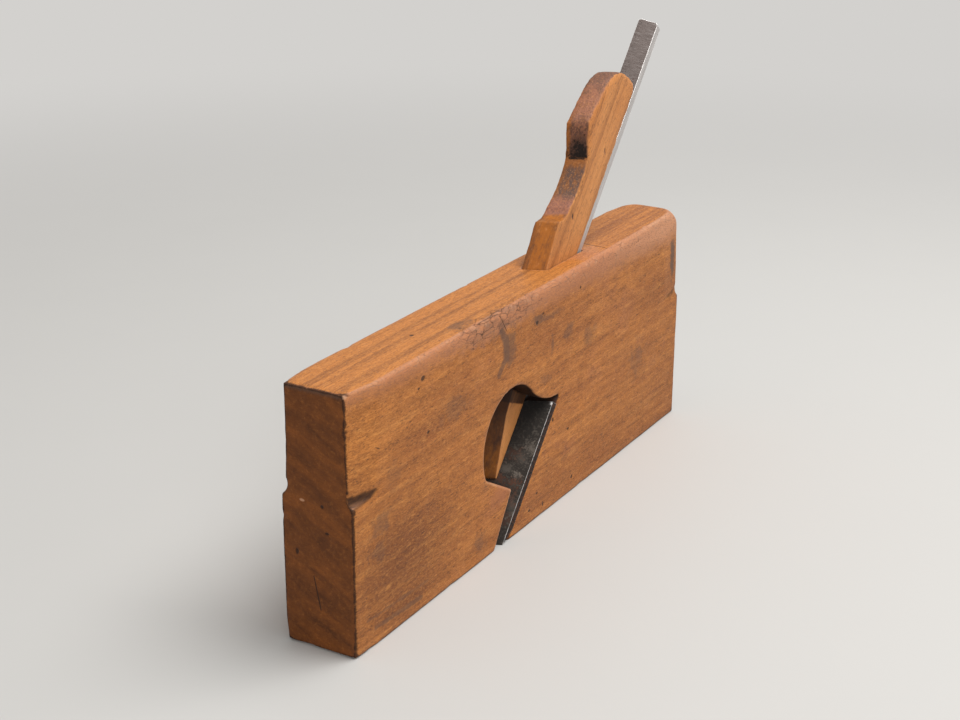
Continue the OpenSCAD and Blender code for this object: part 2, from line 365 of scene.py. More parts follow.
class Skin:
    """The points of a fine mesh as numbers, so that wear can be worked in code."""

    def __init__(self, piece):
        self.mesh = piece.data
        count = len(self.mesh.vertices)
        self.at = np.empty(count * 3, np.float32)
        self.mesh.vertices.foreach_get("co", self.at)
        self.at = self.at.reshape(-1, 3).astype(float) / MM
        ends = np.empty(len(self.mesh.edges) * 2, np.int32)
        self.mesh.edges.foreach_get("vertices", ends)
        self.ends = ends.reshape(-1, 2)
        self.neighbours = np.bincount(ends, minlength=count).astype(float)
        self.settle()

    def settle(self):
        """Puts the points in the mesh and finds each point's direction out of the surface."""
        self.mesh.vertices.foreach_set("co", (self.at * MM).astype(np.float32).ravel())
        self.mesh.update()
        out = np.empty(self.at.size, np.float32)
        self.mesh.vertices.foreach_get("normal", out)
        self.out = out.reshape(-1, 3).astype(float)

    def blurred(self, values, times):
        """The values, each moved towards the mean of its neighbours' a number of times."""
        a, b = self.ends.T
        values = values.copy()
        columns = values.reshape(len(values), -1)
        for _ in range(times):
            for n in range(columns.shape[1]):
                column = columns[:, n]
                near = np.bincount(a, column[b], len(column))
                near = near + np.bincount(b, column[a], len(column))
                columns[:, n] = (column + near / self.neighbours) / 2
        return columns.reshape(values.shape)

    def soften(self, times):
        """Rounds the steps that the even mesh leaves along slanting arrises."""
        self.at = self.blurred(self.at, times)
        self.settle()

    def round_off(self, where, times):
        """Rounds the corners where asked, an amount from 0 to 1 for each point."""
        self.at += (self.blurred(self.at, times) - self.at) * where[:, None]
        self.settle()

    def bends(self, spread):
        """How far the surface bends near each point, outwards and inwards."""
        pull = self.blurred(self.at, 2) - self.at
        bend = -(pull * self.out).sum(1)
        spread_out = self.blurred(np.maximum(bend, 0), spread)
        spread_in = self.blurred(np.maximum(-bend, 0), spread)
        return spread_out, spread_in

    def lumps(self, size, where, seed):
        """Noise from about -1 to 1 with lumps of a size, where asked, and 0 elsewhere."""
        found = np.zeros(len(self.at))
        shift = np.array((seed, seed * 1.7, -seed))
        found[where] = [noise.noise(p) for p in self.at[where] / size + shift]
        return found

    def wear(self, strength, depth, plain, lumps):
        """Takes a depth off, by a plain share and by lumps, each a size, a share and a seed."""
        worn = strength > NO_WEAR
        uneven = plain
        for size, part, seed in lumps:
            uneven = uneven + part * self.lumps(size, worn, seed)
        self.at -= self.out * (strength * np.clip(uneven, 0, 2) * depth / MM)[:, None]

    def press(self, dents):
        """Presses soft dents in, each with a place, a radius and a depth."""
        for centre, radius, depth in dents:
            away = np.linalg.norm(self.at - centre, axis=1) / radius
            self.at -= self.out * (depth * np.exp(-away ** 2))[:, None]

    def keep_in(self, low, high):
        """Brings points that have left the box of the CAD node back to it."""
        self.at = np.clip(self.at, np.array(low), np.array(high))
        self.settle()

    def write(self, **layers):
        """Gives the mesh amounts that its material reads."""
        for name, values in layers.items():
            made = self.mesh.attributes.new(name, "FLOAT", "POINT")
            made.data.foreach_set("value", values.astype(np.float32))


def copy_of(node, name):
    """A new object that holds a joined-up copy of a CAD node's mesh."""
    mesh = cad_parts[node].data.copy()
    mesh.name = name
    mesh.materials.clear()
    for layer in list(mesh.uv_layers):
        mesh.uv_layers.remove(layer)
    work = bmesh.new()
    work.from_mesh(mesh)
    bmesh.ops.remove_doubles(work, verts=work.verts, dist=WELD * MM)
    work.to_mesh(mesh)
    work.free()
    piece = bpy.data.objects.new(name, mesh)
    bpy.context.scene.collection.objects.link(piece)
    return piece


def apply(piece, kind, **settings):
    """Changes a piece's mesh by one modifier."""
    modifier = piece.modifiers.new(kind, kind)
    for key, value in settings.items():
        setattr(modifier, key, value)
    graph = bpy.context.evaluated_depsgraph_get()
    mesh = bpy.data.meshes.new_from_object(piece.evaluated_get(graph), depsgraph=graph)
    piece.modifiers.clear()
    old, piece.data = piece.data, mesh
    bpy.data.meshes.remove(old)
    mesh.name = piece.name


def lighten(piece, most, low, high):
    """Thins a fine mesh to a number of triangles, keeps it in its box and shades it smoothly."""
    triangles = 2 * len(piece.data.polygons)
    apply(piece, "DECIMATE", ratio=min(1.0, most / triangles))
    Skin(piece).keep_in(low, high)
    piece.data.polygons.foreach_set("use_smooth", [True] * len(piece.data.polygons))
    piece.data.update()


def place(piece, node, body, material):
    """Puts a finished piece in a CAD node's place."""
    if not piece.data.polygons:
        raise RuntimeError(f"{piece.name} has no faces")
    piece.data.materials.clear()
    piece.data.materials.append(material)
    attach(piece, body)
    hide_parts(node)


def beech(finish, grain):
    """What all beech has, as amounts: broad tone, streaks, fibres and flecks, along X of grain."""
    def pattern(amounts, detail, rough=0.5, twist=0.0):
        return finish.noise(finish.stretched(amounts, grain), detail, rough, twist)
    broad = pattern((0.012, 0.05, 0.05), 3, 0.6).ramp(0.34, 0.66)
    streaks = pattern((0.008, 0.3, 0.3), 4, 0.62, 0.3).ramp(0.42, 0.72)
    fibres = pattern((0.12, 2.3, 2.3), 2)
    flecks = pattern((0.5, 3, 3), 1).ramp(0.61, 0.73)
    return broad, streaks, fibres, flecks


# Broad patches of the stock: the place and the size along each axis
LOW_ON_TOE = ((92, 13.5, 22), (52, 30, 34))
HIGH_ON_TOE = ((108, 13.5, 66), (30, 20, 26))
BEHIND_WEDGE = ((-46, 6.5, 89), (13, 8, 3))
CRAZED = ((32, 12.5, 86), (38, 5, 8))
LIP_OF_MOUTH = ((28, 13.5, 21), (11, 4, 5.5))
# Stains of the stock: the place, the size along each axis and the amount
STAINS = (
    ((22.8, 13.5, 75), (5, 6, 9), 0.55),
    ((29, 13.5, 84.5), (4.5, 9, 2.6), 0.4),
    ((48.5, 8.5, 89), (7, 3.2, 3), 0.5),
    ((98, 13.5, 55), (6, 6, 6), 0.2),
    ((105.5, 13.5, 41), (6.5, 6, 5.5), 0.4),
    ((-114.5, 12, 70), (3.2, 6, 13), 0.8),
    ((2, 13.5, 78.5), (6, 6, 3), 0.6),
    ((-9, 13.5, 76.8), (9, 6, 1.6), 0.4),
    ((-8.5, 13.5, 65), (1.3, 6, 6), 0.45),
    ((-20.4, 13.5, 67), (5, 6, 4), 0.42),
    ((-38, 13.5, 60), (6, 6, 5), 0.35),
    ((60, 13.5, 65), (12, 6, 6), 0.3),
    ((-82, 13.5, 36), (9, 6, 9), 0.35),
    ((-4, 13.5, 53), (5, 6, 2.6), 0.35),
    ((43, 13.5, 8), (6, 6, 5), 0.4),
    ((107, 13.5, 32.5), (6, 6, 4), 0.35),
    ((20, -13.5, 40), (9, 6, 14), 0.4),
    ((-70, -13.5, 62), (12, 6, 9), 0.35),
    ((90, -13.5, 70), (8, 6, 7), 0.3),
    ((-28, -13.5, 22), (10, 6, 4.5), 0.4),
    ((52, -13.5, 79), (7, 6, 3.5), 0.5),
)
# Smears with a sharper edge: both ends, the width and the amount
SMEARS = (
    ((29, 13.5, 81.4), (26.2, 13.5, 77), 2.4, 0.7),
    ((25.8, 13.5, 77), (25.4, 13.5, 71.5), 3.4, 0.75),
    ((26.2, 13.5, 71), (30.6, 13.5, 66.4), 2, 0.6),
    ((109.2, 13.5, 6.4), (82, 13.5, 4.8), 1.2, 0.5),
    ((114, 13.5, 10.8), (78, 13.5, 9), 0.8, 0.35),
    ((96, -13.5, 84), (92, -13.5, 72), 1.6, 0.45),
)
# Small dark specks of the stock: the place and the size along each axis
SPECKS = (
    ((120.5, 11.6, 77), (1.6, 2.2, 1.3)),
    ((120.5, 2, 50.5), (1.5, 0.8, 0.8)),
    ((120.5, 3.6, 41.7), (1.5, 1, 0.6)),
    ((120.5, -8, 33), (1.5, 0.8, 1.4)),
    ((79.9, 13.5, 81.6), (1.6, 1, 1)),
    ((82.5, 13.5, 78.8), (0.9, 1, 0.6)),
    ((65.4, 0.2, 89), (1.2, 0.8, 1)),
    ((77, 13.5, 62), (1.2, 1, 0.7)),
    ((3.9, 13.5, 77.3), (1.3, 1, 0.8)),
    ((-0.6, 13.5, 79.4), (1.1, 1, 0.6)),
    ((-29.7, 13.5, 80.9), (0.9, 1, 0.7)),
    ((-9.7, 13.5, 35.4), (0.9, 1, 1.2)),
    ((-25.9, 13.5, 6.2), (1, 1, 1.1)),
    ((-2.9, 13.5, 4.1), (0.7, 1, 1.5)),
    ((7.7, 13.5, 5.6), (1.1, 1, 0.6)),
    ((1.9, 13.5, 10.4), (0.9, 1, 0.6)),
    ((-22, 13.5, 27.4), (1.1, 1, 0.7)),
    ((74, -13.5, 66), (1.6, 1, 1.1)),
    ((-38, -13.5, 71), (1.2, 1, 0.9)),
    ((-92, -13.5, 48), (1, 1, 1.3)),
    ((33, -13.5, 14), (1.3, 1, 0.7)),
)
# Scratches and fine cracks of the stock: both ends and the width
SCRATCHES = (
    ((120.5, 11.6, 77), (112, 13.4, 73.5), 0.34),
    ((112, 13.4, 73.5), (108.5, 13.5, 68.5), 0.3),
    ((108.5, 13.5, 68.5), (105.5, 13.5, 66.8), 0.26),
    ((120.5, -1.9, 25.7), (120.5, 0.4, 14.4), 0.3),
    ((-57, -11, 89), (-55.4, 11.5, 89), 0.35),
    ((30.5, 13.2, 87.6), (26, 13.5, 81), 0.3),
    ((68, -13.5, 52), (38, -13.5, 60.5), 0.3),
    ((-52, -13.5, 30), (-84, -13.5, 27), 0.28),
)
# Small chips down to bare wood: the place, the size, how ragged they are and the amount
CHIPS = (
    ((120.5, -5.4, 51.1), (1.5, 1.2, 0.6), 0.3, 0.55),
    ((120.2, 11.7, 88.4), (1.6, 1.6, 1.4), 0.4, 0.6),
)
# Nicks and dents of the stock: the place, the radius and the depth
NICKS = (
    ((44, 12.9, 88.2), 1.8, 0.3),
    ((27, 12.7, 88.4), 2.4, 0.3),
    ((8, 12.9, 88.2), 1.7, 0.28),
    ((-89.9, 11.7, 88.6), 1.2, 0.4),
    ((120.5, 12.2, 77.2), 1.3, 0.5),
    ((120.2, 12.6, 88.6), 1.6, 0.45),
    ((120.5, -12.9, 70), 1.5, 0.3),
    ((120.5, -13, 44), 1.2, 0.3),
    ((120.5, -5, 0), 2.6, 0.3),
    ((112, 13.5, 0), 2, 0.25),
    ((63, 13.5, 0), 2.4, 0.22),
    ((-35, 13.5, 0), 2.8, 0.22),
    ((-96, -13.5, 0), 2.6, 0.35),
    ((-60, -13.2, 88), 1.8, 0.35),
    ((10, -13, 88.2), 1.5, 0.3),
    ((84, -13.2, 87.8), 2, 0.35),
    ((40, -13.5, 30), 3.5, 0.2),
    ((-40, -13.5, 52), 5, 0.16),
)
# The lumps of the stock's wear: the size, the share and the seed
STOCK_LUMPS = ((9, 0.6, 0), (2.6, 0.3, 5))
# How far a full arris and a full hollow of the stock bend
STOCK_ARRIS, STOCK_HOLLOW = 0.03, 0.02
# The eased corners, for the toe and for the heel: how far each runs and how deep it is at its end
EASED = ((13, 1.9), (-13, 1.1))
# The gouge cut that stops an eased corner: its radius, its bite, its height and how far it falls
GOUGE_RADIUS, GOUGE_BITE, GOUGE_HEIGHT, GOUGE_FALL = 4.3, 0.35, 54, math.radians(5.5)


def stock_finish(look):
    """Handled beech: golden at the side, streaked on top, rough and pinkish by the top arrises."""
    f = Finish("stock_beech_worn")
    broad, streaks, fibres, flecks = beech(f, f.at)
    blotches = f.noise(f.stretched((0.035, 0.05, 0.05)), 4, 0.62)
    bands = f.noise(f.stretched((0.016, 0.42, 0.42)), 4, 0.68)
    mottle = f.noise(f.stretched((0.16, 0.78, 0.78)), 5, 0.72)
    ragged = f.noise(f.stretched((0.28, 0.28, 0.28)), 4, 0.65)
    fine = f.noise(f.stretched((0.65, 2.6, 2.6)), 3, 0.75)
    sparkle = f.noise(f.stretched((2.4, 2.4, 2.4)), 1)
    rim, hollow, inside, gouge = (f.layer(n) for n in ("rim", "hollow", "inside", "gouge"))
    outside = 1 - inside
    on_top = f.facing_z.ramp(0.6, 0.9)
    on_end = abs(f.facing_x).ramp(0.72, 0.92) * outside
    by_end = abs(f.x).ramp(117, 119.5)
    below = STOCK_HIGH.z - f.z

    # The side, with painted shade low down towards the toe and low down further back, and a little
    # darker towards the heel
    low_toe = f.spot(*LOW_ON_TOE, ragged.swing(0.5), 0.85)
    by_toe = f.spot(*HIGH_ON_TOE, ragged.swing(0.6), 0.85)
    side = f.mix(broad * 0.45 + blotches.swing(1.3) + 0.06, look.gold, look.russet)
    side = f.mix(blotches.ramp(0.45, 0.25) * 0.6, side, look.rosy)
    side = f.mix(by_toe * 0.85, side, look.gold)
    side = f.mix(low_toe * 0.8, side, look.dusky)
    side = f.mix(f.x.ramp(-40, -90) * 0.14, side, look.dusky)
    low = (f.z + ragged.swing(20)).ramp(42, 8)
    side = f.mix(low * f.x.ramp(30, -20) * 0.2, side, look.dusky)
    side = f.mix(streaks * 0.4, side, look.streak)
    side = f.mix((bands - 0.52) * 1.8, side, look.dusky)
    side = f.mix((0.48 - bands) * 1.5, side, look.gleam)
    side = f.mix(mottle.ramp(0.48, 0.7) * 0.5, side, look.streak)
    side = f.mix(mottle.ramp(0.46, 0.28) * 0.5, side, look.gleam)

    # The top, with a greyer patch behind the wedge and browner streaks behind that
    top = f.mix(streaks * 0.7, look.top, look.streak)
    top = f.mix(mottle.ramp(0.5, 0.75) * 0.4, top, look.streak)
    top = f.mix(mottle.ramp(0.46, 0.3) * 0.3, top, look.gleam)
    behind = f.x.ramp(-54, -60)
    top = f.mix(behind * (streaks * 0.6 + 0.15), top, look.russet)
    patch = f.spot(*BEHIND_WEDGE, ragged.swing(1.2))
    top = f.mix(patch * 0.55, top, look.worn)

    # Fibres, flecks and golden specks over both
    wood = f.mix(on_top, side, top)
    wood = f.mix(fibres.swing(1.3) + 0.06, wood, look.streak)
    wood = f.mix(fine.swing(1.9) + sparkle.swing(0.6), wood, look.fleck)
    wood = f.mix(fine.swing(-1.8) - sparkle.swing(0.7), wood, look.gleam)
    wood = f.mix(flecks * mottle.ramp(0.32, 0.52) * 0.65, wood, look.fleck)

    # The end grain, its rings running down towards the open side
    across, along = f.dot(f.at, (0, 0.09, 0.16)), f.dot(f.at, (0, 0.03, -0.02))
    rings = f.noise(f.whole(across, along), 4, 0.65, 0.5)
    rays = f.noise(f.stretched((0.5, 0.5, 2.2)), 3, 0.7).ramp(0.45, 0.7)
    end = f.mix(rings.swing(1.9) + ragged.swing(0.8) + 0.38, look.end, look.end_dark)
    end = f.mix(rays * 0.3 + fine.swing(1.2), end, look.end_dark)
    end = f.mix((0.47 - mottle) * 1.3, end, look.gold)
    end = f.mix((below + fine.swing(2.4)).ramp(2.2, 0.7) * 0.65, end, look.stain)
    wood = f.mix(on_end, wood, end)

    # The worn band below the long top arrises, wider towards the heel and paler there
    crazed = f.spot(*CRAZED, ragged.swing(1.4), 0.6)
    reach = below + f.x * 0.03 - crazed * 3.5 + ragged.swing(6) + mottle.swing(4)
    band = reach.ramp(11, 1.5) * f.facing_z.ramp(0.99, 0.93) * (1 - on_end) * outside
    wood = f.mix(band * 0.75, wood, look.worn)
    pale = (ragged * 0.5 + fine * 0.8 + mottle * 0.5).ramp(0.88, 1.12)
    wood = f.mix(band * pale * 0.4, wood, look.bare)
    wood = f.mix(band * f.x.ramp(-30, -115) * 0.3, wood, look.bare)
    wood = f.mix(band * fine.ramp(0.52, 0.64) * 0.5, wood, look.stain)
    wood = f.mix(crazed * mottle.ramp(0.44, 0.6) * 0.4, wood, look.stain)
    arris = (rim + ragged.swing(0.8) + fine.swing(0.6)).ramp(0.5, 0.95)
    arris = arris * (1 - on_end) * (1 - by_end)
    heelward = f.facing_x.ramp(0.2, -0.3) * 0.4 + 0.06
    wood = f.mix(arris * outside * heelward * f.z.ramp(1, 3), wood, look.bare)

    # Fine cracks, where the band is crazed and here and there along it
    shifted = f.vector("ADD", f.stretched((0.2, 0.34, 0.34)), f.whole(ragged * 1.5))
    lines = f.node(
        "ShaderNodeTexVoronoi",
        {"feature": "DISTANCE_TO_EDGE"},
        {"Vector": shifted, "Scale": 1.0},
        "Distance",
    ).ramp(0.05, 0)
    cracks = lines * crazed * mottle.ramp(0.34, 0.5)
    cracks = cracks.most(lines * band * ragged.ramp(0.5, 0.6) * 0.6)

    # Inside the escapement the wood is darkened with painted shade, most of all high up and where
    # it faces down
    high = (f.z + ragged.swing(12)).ramp(16, 46)
    shut = f.mix(ragged.ramp(0.4, 0.7) * 0.4 + high * 0.8, look.inside, look.grime_and_shade)
    shut = f.mix(f.facing_z.ramp(-0.1, -0.5) * 0.85, shut, look.grime_and_shade)
    wood = f.mix(inside, wood, shut)
    lip = f.spot(*LIP_OF_MOUTH, ragged.swing(1.4), 0.8)
    wood = f.mix(lip * outside * 0.6, wood, look.rosy)

    # Dirt in the hollows, the cracks and round the ends; painted shadow on the gouge cuts' steep
    # walls and along the sole
    dirty_end = by_end * (rim + ragged.swing(0.9) + fine.swing(0.6)).ramp(0.5, 1)
    dirt_and_shade = (hollow + ragged.swing(0.5)).ramp(0.3, 0.75) * 0.75
    toe_most = f.x.ramp(-20, 20) * 0.75 + 0.25
    # Painted shade on the gouge cuts by which way they face: dark where steep, grey where half up,
    # and a painted highlight where they face up
    cut = gouge * f.facing_z.ramp(0.66, 0.34) * toe_most
    wood = f.mix(gouge * f.facing_z.ramp(0.2, 0.5) * toe_most * 0.65, wood, look.stain)
    wood = f.mix(gouge * f.facing_z.ramp(0.64, 0.76) * 0.85, wood, look.bare)
    dirt_and_shade = dirt_and_shade.most(dirty_end * 0.85).most(cut * (mottle * 0.2 + 0.8)).most(cracks * 0.6)
    # Painted shadow along the sole
    dirt_and_shade = dirt_and_shade.most((f.z + ragged.swing(0.9)).ramp(1, 0.2) * 0.75)
    wood = f.mix(dirt_and_shade, wood, look.grime_and_shade)

    # Stains and bruises that years of use have left, each where it was found
    loose = ragged.swing(2.2) + mottle.swing(1.4)
    stains = 0
    for centre, size, amount in STAINS:
        stains = (f.spot(centre, size, loose, 0.65) * amount).most(stains)
    for start, stop, width, amount in SMEARS:
        stains = stains.most(f.stroke(start, stop, width, loose * 0.5) * amount)
    wood = f.mix(stains, wood, look.stain)
    marks = 0
    for centre, size in SPECKS:
        marks = (f.spot(centre, size, loose * 0.4) * 0.8).most(marks)
    for start, stop, width in SCRATCHES:
        marks = marks.most(f.stroke(start, stop, width, loose * 0.08) * 0.75)
    wood = f.mix(marks, wood, look.grime_and_shade)
    for centre, size, swing, amount in CHIPS:
        wood = f.mix(f.spot(centre, size, loose * swing) * amount, wood, look.bare)

    height = fibres.swing(0.035) - flecks * 0.035 + fine.swing(0.022) + mottle.swing(0.028)
    height = height + (ragged - 0.5) * band * 0.1 - marks * 0.16 - cracks * 0.18
    rough = 0.56 + ragged.swing(0.2) + fine.swing(0.2) + band * 0.1 - on_top * 0.08 + dirt_and_shade * 0.1
    return f.done(wood, rough, height, Specular_IOR_Level=BEECH_GLOSS)


def in_escapement(at):
    """True on the walls of the escapement and of the mortise above it."""
    x, y, z = at.T
    half_width = np.where(z > 70, 8, 13.15)
    return (np.abs(x - 5) < 52) & (np.abs(y) < half_width) & (z > 0.6) & (z < 88.4)


def gouge_cut(at, corner, run, depth):
    """1 on the groove of the cut that stops an eased corner, at the toe for a positive run."""
    turn = math.atan(depth / abs(run))
    mirrored = at * (math.copysign(1, run), 1, 1) * (1, corner, 1)
    turned = Matrix.Rotation(-GOUGE_FALL, 3, "Y") @ Matrix.Rotation(-turn, 3, "Z")
    foot = (STOCK_HIGH.x - abs(run), STOCK_HIGH.y, GOUGE_HEIGHT)
    _, out, up = ((mirrored - foot) @ np.array(turned)).T
    off = np.hypot(out - (GOUGE_RADIUS - GOUGE_BITE), up)
    groove = np.clip(1.5 - np.abs(off - GOUGE_RADIUS) / 0.35, 0, 1)
    return groove * (up < 0.3) * (up > -GOUGE_RADIUS)


class PLANE_OT_stock(bpy.types.Operator):
    """Makes the worn stock from its CAD node"""

    bl_idname = "rabbet_plane.stock"
    bl_label = "Stock"

    def execute(self, context):
        look = context.scene.rabbet_plane.stock
        piece = copy_of("stock", "stock_body")
        apply(piece, "REMESH", mode="VOXEL", voxel_size=look.skin, adaptivity=0.0)
        skin = Skin(piece)
        self.wear(skin, look.wear)
        self.note(skin)
        lighten(piece, MOST_FACES, STOCK_LOW, STOCK_HIGH)
        place(piece, "stock", "stock", stock_finish(look))
        return {"FINISHED"}

    def wear(self, skin, depth):
        """Rounds the heel's top and the toe's foot, wears the arrises and presses the nicks in."""
        skin.soften(2)
        x, _, z = skin.at.T
        heel = upto(-102 - x, 10) * upto(z - 66, 12)
        foot = upto(x - 112, 6) * upto(9 - z, 6)
        skin.round_off(np.maximum(heel, foot * 0.7), 36)
        edge, _ = skin.bends(3)
        skin.wear(upto(edge, STOCK_ARRIS), depth, 0.6, STOCK_LUMPS)
        skin.press(NICKS)
        skin.keep_in(STOCK_LOW, STOCK_HIGH)

    def note(self, skin):
        """Notes on the mesh where its arrises, hollows, inner walls and gouge cuts are."""
        _, hollow = skin.bends(12)
        rim, _ = skin.bends(2)
        gouge = sum(
            gouge_cut(skin.at, corner, run, depth) for corner in (1, -1) for run, depth in EASED
        )
        # The flat of the side isn't part of a cut
        gouge = gouge * upto(STOCK_HIGH.y - np.abs(skin.at[:, 1]) - 0.1, 0.3)
        skin.write(
            rim=upto(rim, STOCK_ARRIS),
            hollow=upto(hollow, STOCK_HOLLOW),
            inside=skin.blurred(in_escapement(skin.at).astype(float), 1),
            gouge=skin.blurred(np.clip(gouge, 0, 1), 1),
        )


# Lighter patches on the face of the blade: the place, the size along each axis and the amount
BLOOMS = (
    ((3.8, 12.2, 28.9), (2.6, 3, 3), 0.6),
    ((7.4, 9.8, 26), (3, 3, 3), 0.3),
    ((12, 6.5, 22.4), (3.5, 3, 2), 0.45),
    ((11.8, 10.3, 20.7), (2.4, 2.2, 1.6), 0.75),
    ((18.5, 12.2, 12), (2.4, 2.6, 5), 0.25),
)
# Rusty patches there
RUSTS = (
    ((13.8, 10.5, 18.3), (3, 3, 2.2), 0.6),
    ((15.2, 5.3, 19.6), (3, 4, 2), 0.6),
    ((8, 7, 27), (4, 4, 2.6), 0.35),
    ((22, 12, 8), (3, 3, 3), 0.3),
)
# The blade's upper near corner, a painted highlight: the place and the size along each axis
CORNER_GLINT = ((-8.6, 13.4, 42.2), (0.8, 1, 0.9))
# Faces of the iron that turn by less than this are one, and an arris turns by more than this
FLAT_TURN, ARRIS_TURN = math.radians(0.5), math.radians(20)
# An edge of the iron that is no higher above its lowest point than this stays sharp
SHARP_HEIGHT = 0.2


def iron_finish(look):
    """Old tool steel: brushed tang, stained blade, bright arrises, a little rust, painted light and
    shade.
    """
    f = Finish("iron_steel_worn")
    up = f.dot(f.at, UP_BED)
    out = f.dot(f.at, OUT_OF_BED)
    bright = f.layer("bright")
    on_side = abs(f.facing_y).ramp(0.85, 0.97)
    on_blade = f.z.ramp(47, 42)
    near = f.y.ramp(11.5, 12.5)
    brushed = f.noise(f.whole(up * 4, f.y * 0.16), 3, 0.7)
    lengthwise = f.noise(f.whole(up * 0.06, out * 3), 2, 0.6)
    mottle = f.noise(f.stretched((0.16, 0.16, 0.16)), 4, 0.66)
    pits = f.noise(f.stretched((0.9, 0.9, 0.9)), 3, 0.7)
    specks = pits.ramp(0.6, 0.7)

    # The tang, brushed across its face, with sides made paler as painted light
    tang = f.mix(brushed.swing(0.7), look.steel, look.bright)
    tang = f.mix(brushed.swing(-0.8), tang, look.black)
    tang = f.mix(mottle.ramp(0.46, 0.75) * 0.3, tang, look.black)
    tang = f.mix(specks * up.ramp(200, 130) * 0.7, tang, look.rust)
    side = f.mix(lengthwise.ramp(0.52, 0.75) * 0.35 + specks * 0.25, look.flank, look.steel)
    side = f.mix(lengthwise.ramp(0.46, 0.3) * 0.5, side, look.bright)
    tang = f.mix(on_side, tang, side)

    # The blade goes black where it goes up into the escapement, and its side edge is dark, both
    # painted shade; below it is greyer and rustier
    shut = (f.z - f.y * 1.2 + mottle.swing(14)).ramp(14, 34)
    cloud = mottle.ramp(0.5, 0.7) * pits.ramp(0.36, 0.6) * (1 - shut * 0.85)
    blade = f.mix(cloud * 0.5 + pits.swing(1.6), look.black, look.bloom)
    blade = f.mix(mottle.ramp(0.48, 0.34) * f.z.ramp(30, 12) * 0.6, blade, look.rust)
    for patches, colour in ((BLOOMS, look.bloom), (RUSTS, look.rust)):
        for centre, size, amount in patches:
            blade = f.mix(f.spot(centre, size, pits.swing(4.5), 0.8) * amount, blade, colour)
    blade = f.mix(shut * 0.8, blade, look.blade_shade)
    edge_of_blade = f.mix(pits.ramp(0.4, 0.65) * 0.6, look.blade_shade, look.rust)
    blade = f.mix(on_side, blade, edge_of_blade)
    steel = f.mix(on_blade, tang, blade)

    # The arrises are worn bright: the tang's most, and of the blade's the near one, with a painted
    # highlight there and on its corner
    kept = (1 - on_blade).most(near * (lengthwise.ramp(0.35, 0.65) * 0.35 + 0.35))
    shine = bright * (pits.ramp(0.25, 0.55) * 0.75 + 0.2) * (kept * 0.95 + 0.05)
    shine = shine.most(f.spot(*CORNER_GLINT, pits.swing(0.8)) * 0.9)
    steel = f.mix(shine, steel, look.bright)
    dull = on_blade * (1 - shine)
    plain = (1 - on_side) * (1 - on_blade)
    height = (brushed - 0.5) * plain * 0.012 + (pits - 0.5) * on_blade * 0.06 - specks * 0.03
    rough = 0.4 + dull * 0.14 + plain * 0.12 + mottle.swing(0.2) + specks * 0.2
    metal = 0.72 - dull * 0.2 - specks * 0.2 + on_side * (on_blade * 0.7 - 0.42)
    return f.done(steel, rough, height, Metallic=metal)


class PLANE_OT_iron(bpy.types.Operator):
    """Makes the iron from its CAD node, with its arrises worn off but for the cutting edge"""

    bl_idname = "rabbet_plane.iron"
    bl_label = "Iron"

    def execute(self, context):
        look = context.scene.rabbet_plane.iron
        piece = copy_of("iron", "iron_body")
        work = bmesh.new()
        work.from_mesh(piece.data)
        bmesh.ops.dissolve_limit(work, angle_limit=FLAT_TURN, verts=work.verts, edges=work.edges)
        bright = work.faces.layers.float.new("bright")
        sharp = min(v.co.z for v in work.verts) + SHARP_HEIGHT * MM
        worn = [
            edge
            for edge in work.edges
            if edge.calc_face_angle(0) > ARRIS_TURN and max(v.co.z for v in edge.verts) > sharp
        ]
        made = bmesh.ops.bevel(
            work, geom=worn, offset=look.bevel, segments=2, profile=0.6,
            affect="EDGES", clamp_overlap=True,
        )
        for face in made["faces"]:
            face[bright] = 1.0
        work.to_mesh(piece.data)
        work.free()
        place(piece, "iron", "iron", iron_finish(look))
        return {"FINISHED"}


# Nicks of the wedge: the place, the radius and the depth
WEDGE_NICKS = (
    ((-40.5, 4.2, 104.1), 0.9, 0.3),
    ((-66.1, 4.2, 123.4), 0.9, 0.25),
    ((-60, 4.2, 146), 1.6, 0.3),
    ((-52, -4.2, 141), 1.4, 0.3),
    ((-47, 3.6, 136), 1.4, 0.35),
    ((-48.5, 1.5, 130), 1.3, 0.35),
    ((-27.2, -4.2, 105), 1.2, 0.35),
)
# Dark marks in two of them: the place, the size along each axis and the amount
WEDGE_MARKS = (
    ((-40.5, 4.2, 104.1), (0.8, 1.2, 1.7), 0.9),
    ((-66.1, 4.2, 123.4), (0.8, 1.2, 1.5), 0.6),
)
# The notch under the head: the place and the size along each axis
NOTCH = ((-48.5, 2, 125), (9, 7, 8.6))
# The lumps of the wedge's wear: the size, the share and the seed
WEDGE_LUMPS = ((4, 0.8, 0), (1.5, 0.5, 3))
# How far a full arris, a full round and a full hollow of the wedge bend
WEDGE_ARRIS, WEDGE_ROUND, WEDGE_HOLLOW = 0.02, 0.012, 0.012


